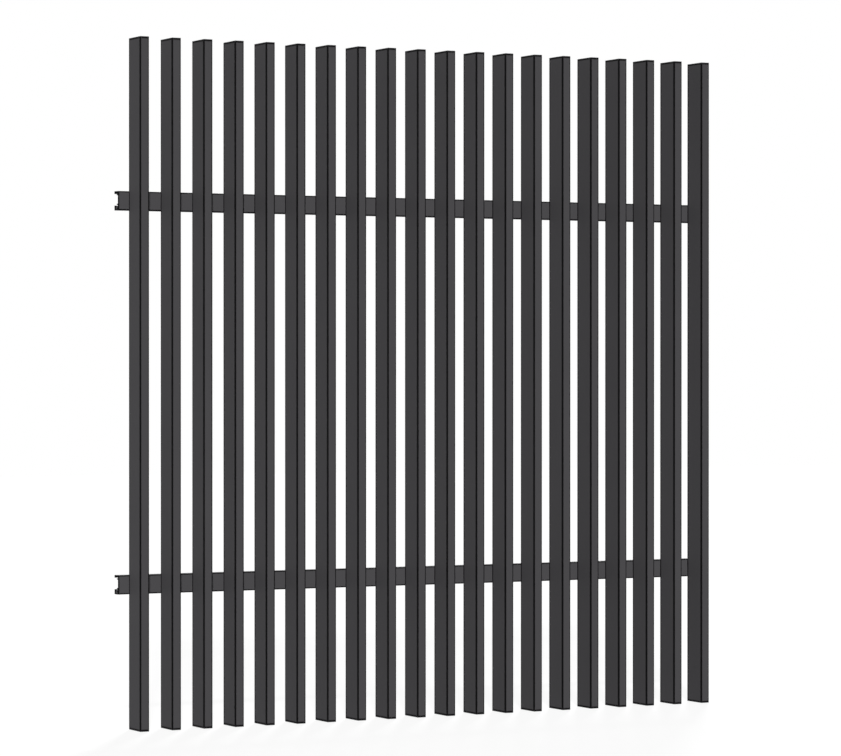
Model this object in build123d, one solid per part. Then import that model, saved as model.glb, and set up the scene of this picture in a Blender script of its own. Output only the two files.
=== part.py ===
"""Blade fence panel: upright tube blades carried on two lipped channel rails, with end caps.

Millimetres. +X runs along the rails to the right as seen from the front, +Y runs from the
blades back towards the posts, and +Z is up. The origin is on the back of the lower rail's
bottom lip, at mid-length of the rail and at mid-height of that lip.
"""
import os

from build123d import *

# Blades: rectangular tube that stands with its narrow face to the front
BLADE_COUNT = 20
BLADE_PITCH = 90.0
BLADE_WIDTH = 25.0
BLADE_DEPTH = 75.0
BLADE_WALL = 1.6
BLADE_CORNER = 1.2
PANEL_HEIGHT = 1800.0

# Rails: lipped channel, open to the back, with two ribs that guide the screws along the web
RAIL_HEIGHT = 50.0
RAIL_DEPTH = 25.0
RAIL_WALL = 2.5
RAIL_CORNER = 0.8
RAIL_TOP_LIP = 7.0
RAIL_BOTTOM_LIP = 13.0
RAIL_RIB_REACH = 7.0
RAIL_RIB_THICKNESS = 3.0
RAIL_RIB_INSET = 1.0
RAIL_SPACING = 1000.0
RAIL_LIFT = 350.0
PANEL_JOINT = 5.0

# End caps: a flange as large as the tube, eased round its face, and a hollow plug with crush ribs
CAP_FLANGE = 2.0
CAP_EASE = 0.6
CAP_PLUG_DEPTH = 14.0
CAP_PLUG_WALL = 1.5
CAP_PLUG_CLEARANCE = 0.7
CAP_RIB_CLEARANCE = 0.1
CAP_RIB_WIDTH = 1.2
CAP_RIB_SPACING = 36.0

# What follows from the sizes above
BORE_WIDTH = BLADE_WIDTH - 2 * BLADE_WALL
BORE_DEPTH = BLADE_DEPTH - 2 * BLADE_WALL
BLADE_LENGTH = PANEL_HEIGHT - 2 * CAP_FLANGE
CAP_CORNER = BLADE_CORNER * (2 - 2**0.5)
RAIL_LENGTH = BLADE_COUNT * BLADE_PITCH - PANEL_JOINT
RAIL_SLOT = RAIL_HEIGHT - RAIL_TOP_LIP - RAIL_BOTTOM_LIP
LOWER_RAIL_Z = -RAIL_BOTTOM_LIP / 2
UPPER_RAIL_Z = LOWER_RAIL_Z + RAIL_SPACING
BLADE_BOTTOM = LOWER_RAIL_Z - RAIL_LIFT
BLADE_TOP = BLADE_BOTTOM + BLADE_LENGTH
BLADE_Y = -RAIL_DEPTH - BLADE_DEPTH / 2
BLADE_XS = [(i - (BLADE_COUNT - 1) / 2) * BLADE_PITCH for i in range(BLADE_COUNT)]


def make_blade():
    """One extruded tube, open at both ends, standing on Z = 0."""
    outside = RectangleRounded(BLADE_WIDTH, BLADE_DEPTH, BLADE_CORNER)
    return extrude(outside - Rectangle(BORE_WIDTH, BORE_DEPTH), BLADE_LENGTH)


def make_crush_ribs(plug_width):
    """Wedge ribs on the plug's long sides that grip the tube's bore."""
    rib_height = CAP_PLUG_CLEARANCE - CAP_RIB_CLEARANCE
    wedge = Polyline((0, -CAP_RIB_WIDTH / 2), (rib_height, 0), (0, CAP_RIB_WIDTH / 2), close=True)
    right_rib = extrude(make_face(wedge), -CAP_PLUG_DEPTH)
    left_rib = Rot(0, 0, 180) * right_rib
    spots = [-CAP_RIB_SPACING / 2, CAP_RIB_SPACING / 2]
    rights = [Pos(plug_width / 2, y, 0) * right_rib for y in spots]
    lefts = [Pos(-plug_width / 2, y, 0) * left_rib for y in spots]
    return rights + lefts


def make_cap():
    """One end cap, with its flange on Z = 0 and its plug reaching down into the tube."""
    outline = Rectangle(BLADE_WIDTH, BLADE_DEPTH)
    flange = extrude(chamfer(outline.vertices(), CAP_CORNER), CAP_FLANGE)
    flange = chamfer(flange.faces().sort_by(Axis.Z)[-1].edges(), CAP_EASE)
    plug_width = BORE_WIDTH - 2 * CAP_PLUG_CLEARANCE
    plug_depth = BORE_DEPTH - 2 * CAP_PLUG_CLEARANCE
    hollow = Rectangle(plug_width - 2 * CAP_PLUG_WALL, plug_depth - 2 * CAP_PLUG_WALL)
    plug = extrude(Rectangle(plug_width, plug_depth) - hollow, -CAP_PLUG_DEPTH)
    return flange + plug + make_crush_ribs(plug_width)


def rail_section():
    """Section of a rail, eased at every corner, with its back on Y = 0 and its underside on Z = 0."""
    outside = Rectangle(RAIL_DEPTH, RAIL_HEIGHT)
    inside = Rectangle(RAIL_DEPTH - 2 * RAIL_WALL, RAIL_HEIGHT - 2 * RAIL_WALL)
    slot_centre = RAIL_BOTTOM_LIP + RAIL_SLOT / 2 - RAIL_HEIGHT / 2
    slot = Pos(RAIL_DEPTH / 2, slot_centre) * Rectangle(2 * RAIL_WALL, RAIL_SLOT)
    rib = Rectangle(RAIL_WALL + RAIL_RIB_REACH, RAIL_RIB_THICKNESS, align=(Align.MIN, Align.CENTER))
    rib_offset = RAIL_SLOT / 2 - RAIL_RIB_INSET - RAIL_RIB_THICKNESS / 2
    ribs = [Pos(-RAIL_DEPTH / 2, slot_centre + side * rib_offset) * rib for side in (-1, 1)]
    section = outside - inside - slot + ribs
    eased = fillet(section.vertices(), RAIL_CORNER)
    return Pos(-RAIL_DEPTH / 2, RAIL_HEIGHT / 2) * eased


def make_rail(underside):
    """One rail, centred along X, with its underside at the given height."""
    profile = Plane.YZ.offset(-RAIL_LENGTH / 2) * rail_section()
    return Pos(0, 0, underside) * extrude(profile, RAIL_LENGTH)


def make_cap_row(height, turned):
    """The caps of all blades at one end, as separate solids."""
    cap = Rot(180, 0, 0) * make_cap() if turned else make_cap()
    return Compound(children=[Pos(x, BLADE_Y, height) * cap for x in BLADE_XS])


def build_panel():
    """All pieces of the panel, by name."""
    pieces = {
        "lower_rail": make_rail(LOWER_RAIL_Z),
        "upper_rail": make_rail(UPPER_RAIL_Z),
        "bottom_caps": make_cap_row(BLADE_BOTTOM, turned=True),
        "top_caps": make_cap_row(BLADE_TOP, turned=False),
    }
    blade = make_blade()
    for number, x in enumerate(BLADE_XS, start=1):
        pieces[f"blade_{number:02d}"] = Pos(x, BLADE_Y, BLADE_BOTTOM) * blade
    return pieces


os.makedirs("parts", exist_ok=True)
for name, piece in build_panel().items():
    export_step(piece, f"parts/{name}.step")
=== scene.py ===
"""Blade fence panel, dressed: powder-coated blades and rails, moulded end caps and blade screws.

Metres, in the frame of the solids: +X along the rails, +Y back towards the posts, +Z up.
"""

import logging
import math
from collections.abc import Sequence
from dataclasses import dataclass
from enum import Enum
from typing import Any

import bmesh
import bpy
from bmesh.types import BMesh, BMVert
from bpy.types import Material, Mesh, Node, NodeSocket, NodeTree
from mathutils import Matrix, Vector


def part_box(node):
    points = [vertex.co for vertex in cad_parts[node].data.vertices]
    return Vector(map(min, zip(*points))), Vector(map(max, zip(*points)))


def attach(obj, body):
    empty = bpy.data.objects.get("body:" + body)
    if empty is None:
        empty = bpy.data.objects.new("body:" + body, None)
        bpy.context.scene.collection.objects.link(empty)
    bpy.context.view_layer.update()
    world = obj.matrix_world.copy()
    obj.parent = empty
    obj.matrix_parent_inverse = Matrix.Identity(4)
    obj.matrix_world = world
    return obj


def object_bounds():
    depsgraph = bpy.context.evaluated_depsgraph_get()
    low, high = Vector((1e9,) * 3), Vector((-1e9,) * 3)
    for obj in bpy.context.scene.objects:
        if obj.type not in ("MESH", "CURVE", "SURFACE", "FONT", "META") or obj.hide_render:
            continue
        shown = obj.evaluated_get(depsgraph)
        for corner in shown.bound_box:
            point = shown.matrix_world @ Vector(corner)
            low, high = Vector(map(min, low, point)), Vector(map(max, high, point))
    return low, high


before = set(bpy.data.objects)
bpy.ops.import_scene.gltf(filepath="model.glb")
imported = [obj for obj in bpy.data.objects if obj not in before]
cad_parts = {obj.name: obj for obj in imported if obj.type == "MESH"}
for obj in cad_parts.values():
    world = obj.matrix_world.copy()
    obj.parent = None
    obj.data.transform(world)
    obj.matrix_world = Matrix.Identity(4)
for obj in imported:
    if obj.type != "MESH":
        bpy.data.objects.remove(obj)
CAD_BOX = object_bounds()

MM = 0.001
BODY = "root"
WHITE = "#FFFFFF"
PHOTO_WIDTH_PX = 841

log = logging.getLogger("blade_fence_panel")


def to_linear(hex_colour: str) -> tuple[float, float, float, float]:
    """Turns an sRGB hex colour into linear light.

    Args:
        hex_colour: Six hex digits with a leading hash.

    Returns:
        Linear red, green and blue, and an alpha of 1.
    """
    channels = [int(hex_colour[i:i + 2], 16) / 255 for i in (1, 3, 5)]
    linear = [c / 12.92 if c <= 0.04045 else ((c + 0.055) / 1.055) ** 2.4 for c in channels]
    return (linear[0], linear[1], linear[2], 1.0)


def add_node(
    tree: NodeTree,
    kind: str,
    values: dict[str | int, Any] | None = None,
    links: dict[str | int, NodeSocket] | None = None,
    **settings: Any,
) -> Node:
    """Adds a node to a tree, with its settings and links.

    Args:
        tree: The node tree to add to.
        kind: The node's type name.
        values: Input values, by input name or number.
        links: Output sockets to link in, by input name or number.
        settings: The node's own properties.

    Returns:
        The new node.
    """
    node = tree.nodes.new(kind)
    for name, value in settings.items():
        setattr(node, name, value)
    for name, value in (values or {}).items():
        node.inputs[name].default_value = value
    for name, socket in (links or {}).items():
        tree.links.new(socket, node.inputs[name])
    return node


def empty_material(name: str) -> Material:
    """Makes a material with a bare node tree.

    Args:
        name: The material's name.

    Returns:
        The material.
    """
    material = bpy.data.materials.new(name)
    material.use_nodes = True
    material.node_tree.nodes.clear()
    return material


def dress_nodes(names: Sequence[str], material: Material) -> None:
    """Gives some of the solids one finish.

    Args:
        names: The solids' node names.
        material: The finish.
    """
    for name in names:
        for material_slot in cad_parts[name].material_slots:
            material_slot.material = material
        log.info("dressed %s in %s", name, material.name)


def node_size(name: str) -> Vector:
    """Returns the overall size of one of the solids."""
    low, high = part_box(name)
    return high - low


class Run(Enum):
    """Which way an extrusion ran out of its die, as 1 on that axis."""

    UPRIGHT = (0, 0, 1)
    LEVEL = (1, 0, 0)


@dataclass(frozen=True)
class PowderCoat:
    """Matt polyester powder coat with a fine structure, sprayed and baked on metal.

    The film hides the metal: what reaches the eye is an even, near-neutral charcoal with no mirror
    shine, a fine sandy grain close up and, along the extrusion, the ghost of the die lines. A narrow
    line along each arris and round each sawn end is painted dark, as painted shade.
    """

    name: str
    run: Run
    thin_film: str = "#4C4B4D"
    thick_film: str = "#484749"
    film_patch_mm: float = 160.0
    film_patch_detail: float = 3.0
    # Colour of the painted shade along each arris and round each end
    arris_painted_shade: str = "#0C0C0D"
    # Width of the painted shade line as it is measured along X, Y and Z, and the share of it that is
    # darkest
    arris_mm: tuple[float, float, float] = (4.5, 4.5, 4.5)
    arris_core: float = 0.35
    roughness: float = 0.55
    roughness_swing: float = 0.06
    specular: float = 0.015
    diffuse_roughness: float = 0.4
    # The real grain is 0.3 to 0.8 mm; it is drawn coarser so that it shows
    grain_mm: float = 1.6
    grain_detail: float = 1.0
    grain_height_mm: float = 0.2
    die_line_mm: float = 3.0
    die_line_length_mm: float = 900.0
    die_line_detail: float = 2.0
    die_line_height_mm: float = 0.02

    def material(self, size: Vector | None = None) -> Material:
        """Builds the coat's material.

        Args:
            size: The size of the extrusion that it goes on, or nothing for a piece with no arrises.

        Returns:
            The material.
        """
        material = empty_material(self.name)
        tree = material.node_tree
        place = add_node(tree, "ShaderNodeTexCoord").outputs["Object"]
        lines = self.die_lines(tree, place)
        colour = self.film_colour(tree, place)
        if size is not None:
            colour = self.darken_arrises(tree, colour, size)
        rough = add_node(
            tree,
            "ShaderNodeMapRange",
            {
                "To Min": self.roughness - self.roughness_swing,
                "To Max": self.roughness + self.roughness_swing,
            },
            {"Value": lines},
        )
        surface = add_node(
            tree,
            "ShaderNodeBsdfPrincipled",
            {"Specular IOR Level": self.specular, "Diffuse Roughness": self.diffuse_roughness},
            {
                "Base Color": colour,
                "Roughness": rough.outputs["Result"],
                "Normal": self.relief(tree, place, lines),
            },
        )
        add_node(tree, "ShaderNodeOutputMaterial", links={"Surface": surface.outputs["BSDF"]})
        return material

    def film_colour(self, tree: NodeTree, place: NodeSocket) -> NodeSocket:
        """Drifts between a thin and a thick film in broad patches.

        Args:
            tree: The material's node tree.
            place: The position on the piece.

        Returns:
            The film's colour.
        """
        patches = add_node(
            tree,
            "ShaderNodeTexNoise",
            {"Scale": 1 / (self.film_patch_mm * MM), "Detail": self.film_patch_detail},
            {"Vector": place},
        )
        return add_node(
            tree,
            "ShaderNodeMix",
            {"A": to_linear(self.thin_film), "B": to_linear(self.thick_film)},
            {"Factor": patches.outputs["Fac"]},
            data_type="RGBA",
        ).outputs["Result"]

    def die_lines(self, tree: NodeTree, place: NodeSocket) -> NodeSocket:
        """Draws the die lines, as noise that is drawn out along the extrusion.

        Args:
            tree: The material's node tree.
            place: The position on the piece.

        Returns:
            The lines' height, from 0 to 1.
        """
        across = 1 / (self.die_line_mm * MM)
        along = 1 / (self.die_line_length_mm * MM)
        scale = [along if run else across for run in self.run.value]
        drawn_out = add_node(tree, "ShaderNodeMapping", {"Scale": scale}, {"Vector": place})
        return add_node(
            tree,
            "ShaderNodeTexNoise",
            {"Scale": 1.0, "Detail": self.die_line_detail},
            {"Vector": drawn_out.outputs["Vector"]},
        ).outputs["Fac"]

    def relief(self, tree: NodeTree, place: NodeSocket, lines: NodeSocket) -> NodeSocket:
        """Raises the sandy grain and the die lines.

        Args:
            tree: The material's node tree.
            place: The position on the piece.
            lines: The die lines' height.

        Returns:
            The bumped normal.
        """
        grain = add_node(
            tree,
            "ShaderNodeTexNoise",
            {"Scale": 1 / (self.grain_mm * MM), "Detail": self.grain_detail},
            {"Vector": place},
        )
        sandy = add_node(
            tree,
            "ShaderNodeBump",
            {"Distance": self.grain_height_mm * MM},
            {"Height": grain.outputs["Fac"]},
        )
        return add_node(
            tree,
            "ShaderNodeBump",
            {"Distance": self.die_line_height_mm * MM},
            {"Height": lines, "Normal": sandy.outputs["Normal"]},
        ).outputs["Normal"]

    def darken_arrises(self, tree: NodeTree, colour: NodeSocket, size: Vector) -> NodeSocket:
        """Paints shade on the film along the arrises and round the ends.

        Args:
            tree: The material's node tree.
            colour: The film's colour on the flat faces.
            size: The extrusion's size.

        Returns:
            The film's colour everywhere.
        """
        # Painted shade: the dark colour mixed in along each arris and round each end
        return add_node(
            tree,
            "ShaderNodeMix",
            {"B": to_linear(self.arris_painted_shade)},
            {"A": colour, "Factor": self.arris_shade_mask(tree, size)},
            data_type="RGBA",
        ).outputs["Result"]

    def arris_shade_mask(self, tree: NodeTree, size: Vector) -> NodeSocket:
        """Marks the arrises, where a point is near two long faces at once, and the sawn ends, for the
        painted shade.

        Args:
            tree: The material's node tree.
            size: The extrusion's size.

        Returns:
            1 on an arris or an end, fading to 0 across the width of the dark line.
        """
        depths = self.depths_inside(tree, size).outputs
        first, second = (depths[axis] for axis, run in enumerate(self.run.value) if not run)
        along = depths[self.run.value.index(1)]
        deeper = add_node(tree, "ShaderNodeMath", links={0: first, 1: second}, operation="MAXIMUM")
        nearest = add_node(
            tree, "ShaderNodeMath", links={0: deeper.outputs["Value"], 1: along}, operation="MINIMUM"
        )
        return add_node(
            tree,
            "ShaderNodeMapRange",
            {"From Min": self.arris_core, "From Max": 1.0, "To Min": 1.0, "To Max": 0.0},
            {"Value": nearest.outputs["Value"]},
            interpolation_type="SMOOTHSTEP",
        ).outputs["Result"]

    def depths_inside(self, tree: NodeTree, size: Vector) -> Node:
        """Measures how deep a point lies inside the extrusion's box, in widths of the dark line.

        Args:
            tree: The material's node tree.
            size: The extrusion's size.

        Returns:
            A node whose outputs are the depths along X, Y and Z.
        """
        half_size = [side / (2 * width * MM) for side, width in zip(size, self.arris_mm)]
        share = add_node(tree, "ShaderNodeTexCoord").outputs["Generated"]
        # From -1 on one face of the box to 1 on the opposite face
        centred = add_node(
            tree,
            "ShaderNodeVectorMath",
            {1: (2, 2, 2), 2: (-1, -1, -1)},
            {0: share},
            operation="MULTIPLY_ADD",
        )
        outward = add_node(
            tree, "ShaderNodeVectorMath", links={0: centred.outputs["Vector"]}, operation="ABSOLUTE"
        )
        depth = add_node(
            tree,
            "ShaderNodeVectorMath",
            {1: [-half for half in half_size], 2: half_size},
            {0: outward.outputs["Vector"]},
            operation="MULTIPLY_ADD",
        )
        return add_node(tree, "ShaderNodeSeparateXYZ", links={0: depth.outputs["Vector"]})


@dataclass(frozen=True)
class MouldedNylon:
    """Carbon-black nylon, injection moulded in a spark-eroded tool.

    The tool leaves a fine even grain, so the face is a soft black that never shines.
    """

    name: str = "moulded_black_nylon"
    colour: str = "#2A2A2B"
    worn_colour: str = "#323233"
    scuff_mm: float = 14.0
    scuff_detail: float = 4.0
    roughness: float = 0.62
    roughness_swing: float = 0.06
    specular: float = 0.12
    # Spark grain is about 0.3 mm; it is drawn coarser so that it shows
    grain_mm: float = 1.2
    grain_detail: float = 1.0
    grain_height_mm: float = 0.03

    def material(self) -> Material:
        """Builds the nylon's material.

        Returns:
            The material.
        """
        material = empty_material(self.name)
        tree = material.node_tree
        place = add_node(tree, "ShaderNodeTexCoord").outputs["Object"]
        scuffs = add_node(
            tree,
            "ShaderNodeTexNoise",
            {"Scale": 1 / (self.scuff_mm * MM), "Detail": self.scuff_detail},
            {"Vector": place},
        )
        grain = add_node(
            tree,
            "ShaderNodeTexNoise",
            {"Scale": 1 / (self.grain_mm * MM), "Detail": self.grain_detail},
            {"Vector": place},
        )
        colour = add_node(
            tree,
            "ShaderNodeMix",
            {"A": to_linear(self.colour), "B": to_linear(self.worn_colour)},
            {"Factor": scuffs.outputs["Fac"]},
            data_type="RGBA",
        )
        rough = add_node(
            tree,
            "ShaderNodeMapRange",
            {
                "To Min": self.roughness - self.roughness_swing,
                "To Max": self.roughness + self.roughness_swing,
            },
            {"Value": scuffs.outputs["Fac"]},
        )
        bump = add_node(
            tree,
            "ShaderNodeBump",
            {"Distance": self.grain_height_mm * MM},
            {"Height": grain.outputs["Fac"]},
        )
        surface = add_node(
            tree,
            "ShaderNodeBsdfPrincipled",
            {"Specular IOR Level": self.specular},
            {
                "Base Color": colour.outputs["Result"],
                "Roughness": rough.outputs["Result"],
                "Normal": bump.outputs["Normal"],
            },
        )
        add_node(tree, "ShaderNodeOutputMaterial", links={"Surface": surface.outputs["BSDF"]})
        return material


@dataclass
class Blades:
    """The upright tubes, which keep their solids and take the coat."""

    coat: PowderCoat
    prefix: str = "blade_"

    def names(self) -> list[str]:
        """Returns the blades' node names, from left to right."""
        return sorted(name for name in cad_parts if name.startswith(self.prefix))

    def centre_lines(self) -> list[float]:
        """Returns the X of each blade's middle, from left to right."""
        boxes = [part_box(name) for name in self.names()]
        return [(low.x + high.x) / 2 for low, high in boxes]

    def dress(self) -> None:
        """Coats every blade."""
        names = self.names()
        dress_nodes(names, self.coat.material(node_size(names[0])))


@dataclass
class Rails:
    """The two lipped channels, which keep their solids and take the coat."""

    coat: PowderCoat
    names: tuple[str, ...] = ("lower_rail", "upper_rail")
    web: float = 2.5 * MM
    bottom_lip: float = 13.0 * MM
    top_lip: float = 7.0 * MM

    def dress(self) -> None:
        """Coats both rails."""
        dress_nodes(self.names, self.coat.material(node_size(self.names[0])))

    def screw_line(self, name: str) -> tuple[float, float]:
        """Finds the line along the inside of a rail's web, midway between its lips.

        Args:
            name: The rail's node name.

        Returns:
            The line's Y and Z.
        """
        low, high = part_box(name)
        middle = (low.z + self.bottom_lip + high.z - self.top_lip) / 2
        return low.y + self.web, middle


@dataclass
class EndCaps:
    """The push-in caps at both ends of the blades."""

    finish: MouldedNylon
    names: tuple[str, ...] = ("top_caps", "bottom_caps")

    def dress(self) -> None:
        """Gives the caps their moulded finish."""
        dress_nodes(self.names, self.finish.material())


@dataclass
class BladeScrews:
    """Hex washer-head screws that hold the blades to one rail, driven from inside the channel."""

    name: str
    centre_lines: list[float]
    screw_line: tuple[float, float]
    finish: Material
    half_pair: tuple[float, float] = (6.0 * MM, 4.6 * MM)
    washer_radius: float = 5.4 * MM
    washer_rim: float = 0.5 * MM
    washer_rise: float = 1.0 * MM
    washer_sides: int = 24
    hex_flats: float = 8.0 * MM
    hex_top: float = 5.0 * MM
    hex_crown: float = 0.6 * MM
    hex_sides: int = 6

    def places(self) -> list[Vector]:
        """Sets out the screws, in a staggered pair on each blade.

        Returns:
            The point on the web under each head.
        """
        across, up = self.half_pair
        web, middle = self.screw_line
        return [
            Vector((x + side * across, web, middle + side * up))
            for x in self.centre_lines
            for side in (-1, 1)
        ]

    def add_ring(self, mesh: BMesh, place: Vector, radius: float, rise: float, sides: int) -> list[BMVert]:
        """Adds a ring of points round a screw's axis, which runs along Y.

        Args:
            mesh: The mesh to add to.
            place: The point on the web under the head.
            radius: The ring's radius.
            rise: How far the ring stands off the web.
            sides: The number of points.

        Returns:
            The points, in order.
        """
        turns = [2 * math.pi * i / sides for i in range(sides)]
        offsets = [Vector((radius * math.cos(turn), rise, radius * math.sin(turn))) for turn in turns]
        return [mesh.verts.new(place + offset) for offset in offsets]

    def add_stack(self, mesh: BMesh, place: Vector, rings: list[tuple[float, float]], sides: int) -> None:
        """Adds a closed turned form, as rings joined by faces.

        Args:
            mesh: The mesh to add to.
            place: The point on the web under the head.
            rings: Radius and rise of each ring, from the web outwards.
            sides: The number of sides.
        """
        loops = [self.add_ring(mesh, place, radius, rise, sides) for radius, rise in rings]
        for lower, upper in zip(loops, loops[1:]):
            for i in range(sides):
                j = (i + 1) % sides
                mesh.faces.new((lower[i], upper[i], upper[j], lower[j]))
        mesh.faces.new(loops[0])
        mesh.faces.new(list(reversed(loops[-1])))

    def heads_mesh(self) -> Mesh:
        """Builds all heads as one mesh, each a dished washer and a crowned hexagon.

        Returns:
            The mesh, with its finish.
        """
        corner = self.hex_flats / math.sqrt(3)
        washer = [
            (self.washer_radius, 0.0),
            (self.washer_radius, self.washer_rim),
            (corner, self.washer_rise),
        ]
        hexagon = [
            (corner, self.washer_rise),
            (corner, self.hex_top - self.hex_crown),
            (corner - self.hex_crown, self.hex_top),
        ]
        heads = bmesh.new()
        for place in self.places():
            self.add_stack(heads, place, washer, self.washer_sides)
            self.add_stack(heads, place, hexagon, self.hex_sides)
        bmesh.ops.recalc_face_normals(heads, faces=heads.faces)
        mesh = bpy.data.meshes.new(self.name)
        heads.to_mesh(mesh)
        heads.free()
        mesh.materials.append(self.finish)
        return mesh

    def build(self) -> None:
        """Adds the rail's screws to the panel as one piece."""
        piece = bpy.data.objects.new(self.name, self.heads_mesh())
        bpy.context.scene.collection.objects.link(piece)
        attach(piece, BODY)
        log.info("built %s with %d heads", piece.name, len(self.places()))


@dataclass
class Lamp:
    """One soft studio light, far enough off to light the whole panel evenly."""

    name: str
    azimuth_deg: float
    elevation_deg: float
    strength: float
    spread_deg: float

    def build(self) -> None:
        """Hangs the lamp, aimed at the panel."""
        light = bpy.data.lights.new(self.name, "SUN")
        light.energy = self.strength
        light.angle = math.radians(self.spread_deg)
        lamp = bpy.data.objects.new(self.name, light)
        azimuth = math.radians(self.azimuth_deg)
        elevation = math.radians(self.elevation_deg)
        level = math.cos(elevation)
        source = Vector((math.sin(azimuth) * level, -math.cos(azimuth) * level, math.sin(elevation)))
        lamp.rotation_euler = source.to_track_quat("Z", "Y").to_euler()
        bpy.context.scene.collection.objects.link(lamp)


@dataclass
class Studio:
    """White room: an even surround, soft lamps and a pale floor under the blades."""

    lamps: tuple[Lamp, ...]
    surround: float = 0.16
    floor_size: float = 40.0
    floor_gap: float = 1.0 * MM
    # The paint takes the panel's shadow, and the lift brings it up to white for the eye alone
    floor_colour: str = "#6A6A6A"
    floor_lift: float = 0.85

    def build(self) -> None:
        """Builds the surround, the lamps and the floor."""
        self.build_surround()
        for lamp in self.lamps:
            lamp.build()
        self.build_floor()
        bpy.context.scene.view_settings.view_transform = "Standard"

    def seen(self, tree: NodeTree) -> NodeSocket:
        """Tells rays that show the background, straight or by reflection, from those that only light.

        Args:
            tree: The node tree to add to.

        Returns:
            1 for a ray that shows the background, and 0 for the rest.
        """
        path = add_node(tree, "ShaderNodeLightPath")
        direct = add_node(
            tree,
            "ShaderNodeMath",
            links={0: path.outputs["Is Camera Ray"], 1: path.outputs["Is Glossy Ray"]},
            operation="MAXIMUM",
        )
        return add_node(
            tree,
            "ShaderNodeMath",
            links={0: direct.outputs["Value"], 1: path.outputs["Is Transmission Ray"]},
            operation="MAXIMUM",
        ).outputs["Value"]

    def build_surround(self) -> None:
        """Makes the world white to look at, and dimmer as a source of light."""
        world = bpy.data.worlds.new("white_surround")
        world.use_nodes = True
        tree = world.node_tree
        tree.nodes.clear()
        strength = add_node(
            tree,
            "ShaderNodeMath",
            {1: 1 - self.surround, 2: self.surround},
            {0: self.seen(tree)},
            operation="MULTIPLY_ADD",
        )
        sky = add_node(
            tree,
            "ShaderNodeBackground",
            {"Color": to_linear(WHITE)},
            {"Strength": strength.outputs["Value"]},
        )
        add_node(tree, "ShaderNodeOutputWorld", links={"Surface": sky.outputs["Background"]})
        bpy.context.scene.world = world

    def build_floor(self) -> None:
        """Lays the floor just under the blades."""
        half = self.floor_size / 2
        level = CAD_BOX[0].z - self.floor_gap
        corners = [(-half, -half, level), (half, -half, level), (half, half, level), (-half, half, level)]
        mesh = bpy.data.meshes.new("studio_floor")
        mesh.from_pydata(corners, [], [(0, 1, 2, 3)])
        mesh.materials.append(self.floor_paint())
        floor = bpy.data.objects.new("studio_floor", mesh)
        bpy.context.scene.collection.objects.link(floor)

    def floor_paint(self) -> Material:
        """Mixes a floor that is white to look at but for the panel's shadow.

        Returns:
            The material.
        """
        material = empty_material("matt_white_floor")
        tree = material.node_tree
        paint = add_node(tree, "ShaderNodeBsdfDiffuse", {"Color": to_linear(self.floor_colour)})
        lift = add_node(
            tree, "ShaderNodeMath", {1: self.floor_lift}, {0: self.seen(tree)}, operation="MULTIPLY"
        )
        glow = add_node(
            tree, "ShaderNodeEmission", {"Color": to_linear(WHITE)}, {"Strength": lift.outputs["Value"]}
        )
        both = add_node(
            tree, "ShaderNodeAddShader", links={0: paint.outputs["BSDF"], 1: glow.outputs["Emission"]}
        )
        add_node(tree, "ShaderNodeOutputMaterial", links={"Surface": both.outputs["Shader"]})
        return material


@dataclass
class PhotoCamera:
    """The camera of the photograph, fitted to the panel's straight edges."""

    yaw_deg: float = 27.691
    tilt_deg: float = -0.169
    distance: float = 9.56907
    sideways: float = -0.043445
    eye_height: float = 0.94277
    focal_px: float = 3544.6
    sensor_mm: float = 36.0

    def build(self) -> None:
        """Sets the camera up in front of the panel's middle."""
        low, high = CAD_BOX
        optics = bpy.data.cameras.new("photo_camera")
        optics.sensor_fit = "HORIZONTAL"
        optics.sensor_width = self.sensor_mm
        optics.lens = self.focal_px * self.sensor_mm / PHOTO_WIDTH_PX
        camera = bpy.data.objects.new("photo_camera", optics)
        yaw = math.radians(self.yaw_deg)
        forward = Vector((math.sin(yaw), math.cos(yaw), 0.0))
        right = Vector((math.cos(yaw), -math.sin(yaw), 0.0))
        middle = Vector(((low.x + high.x) / 2, low.y, low.z + self.eye_height))
        camera.location = middle - forward * self.distance + right * self.sideways
        camera.rotation_euler = (math.radians(90 + self.tilt_deg), 0.0, -yaw)
        bpy.context.scene.collection.objects.link(camera)
        bpy.context.scene.camera = camera


def main() -> None:
    """Dresses the panel, adds its screws, and sets up the camera and the studio."""
    logging.basicConfig(level=logging.INFO, format="%(message)s")
    PhotoCamera().build()
    # The painted shade line is wider on the blades' deep sides, which are seen at a slant
    blades = Blades(PowderCoat("powder_coated_aluminium_upright", Run.UPRIGHT, arris_mm=(4.2, 8.0, 5.0)))
    blades.dress()
    # Painted light: the rails' film is lighter than the blades', to offset the blades' shade on them,
    # so the rails look as light as the blades' fronts
    rails = Rails(
        PowderCoat(
            "powder_coated_aluminium_level", Run.LEVEL, thin_film="#504F51", thick_film="#4C4B4D"
        )
    )
    rails.dress()
    EndCaps(MouldedNylon()).dress()
    screw_coat = PowderCoat(
        "powder_coated_steel_screw", Run.LEVEL, roughness=0.38, specular=0.25, grain_height_mm=0.02
    ).material()
    for rail in rails.names:
        BladeScrews(f"{rail}_screws", blades.centre_lines(), rails.screw_line(rail), screw_coat).build()
    Studio(
        lamps=(
            # From nearly the eye's own side, so the blades hide their shadows on the rails
            Lamp("key", azimuth_deg=-24.5, elevation_deg=30, strength=3.4, spread_deg=4),
            Lamp("back", azimuth_deg=146, elevation_deg=32, strength=3.4, spread_deg=8),
        )
    ).build()


if __name__ == "__main__":
    main()
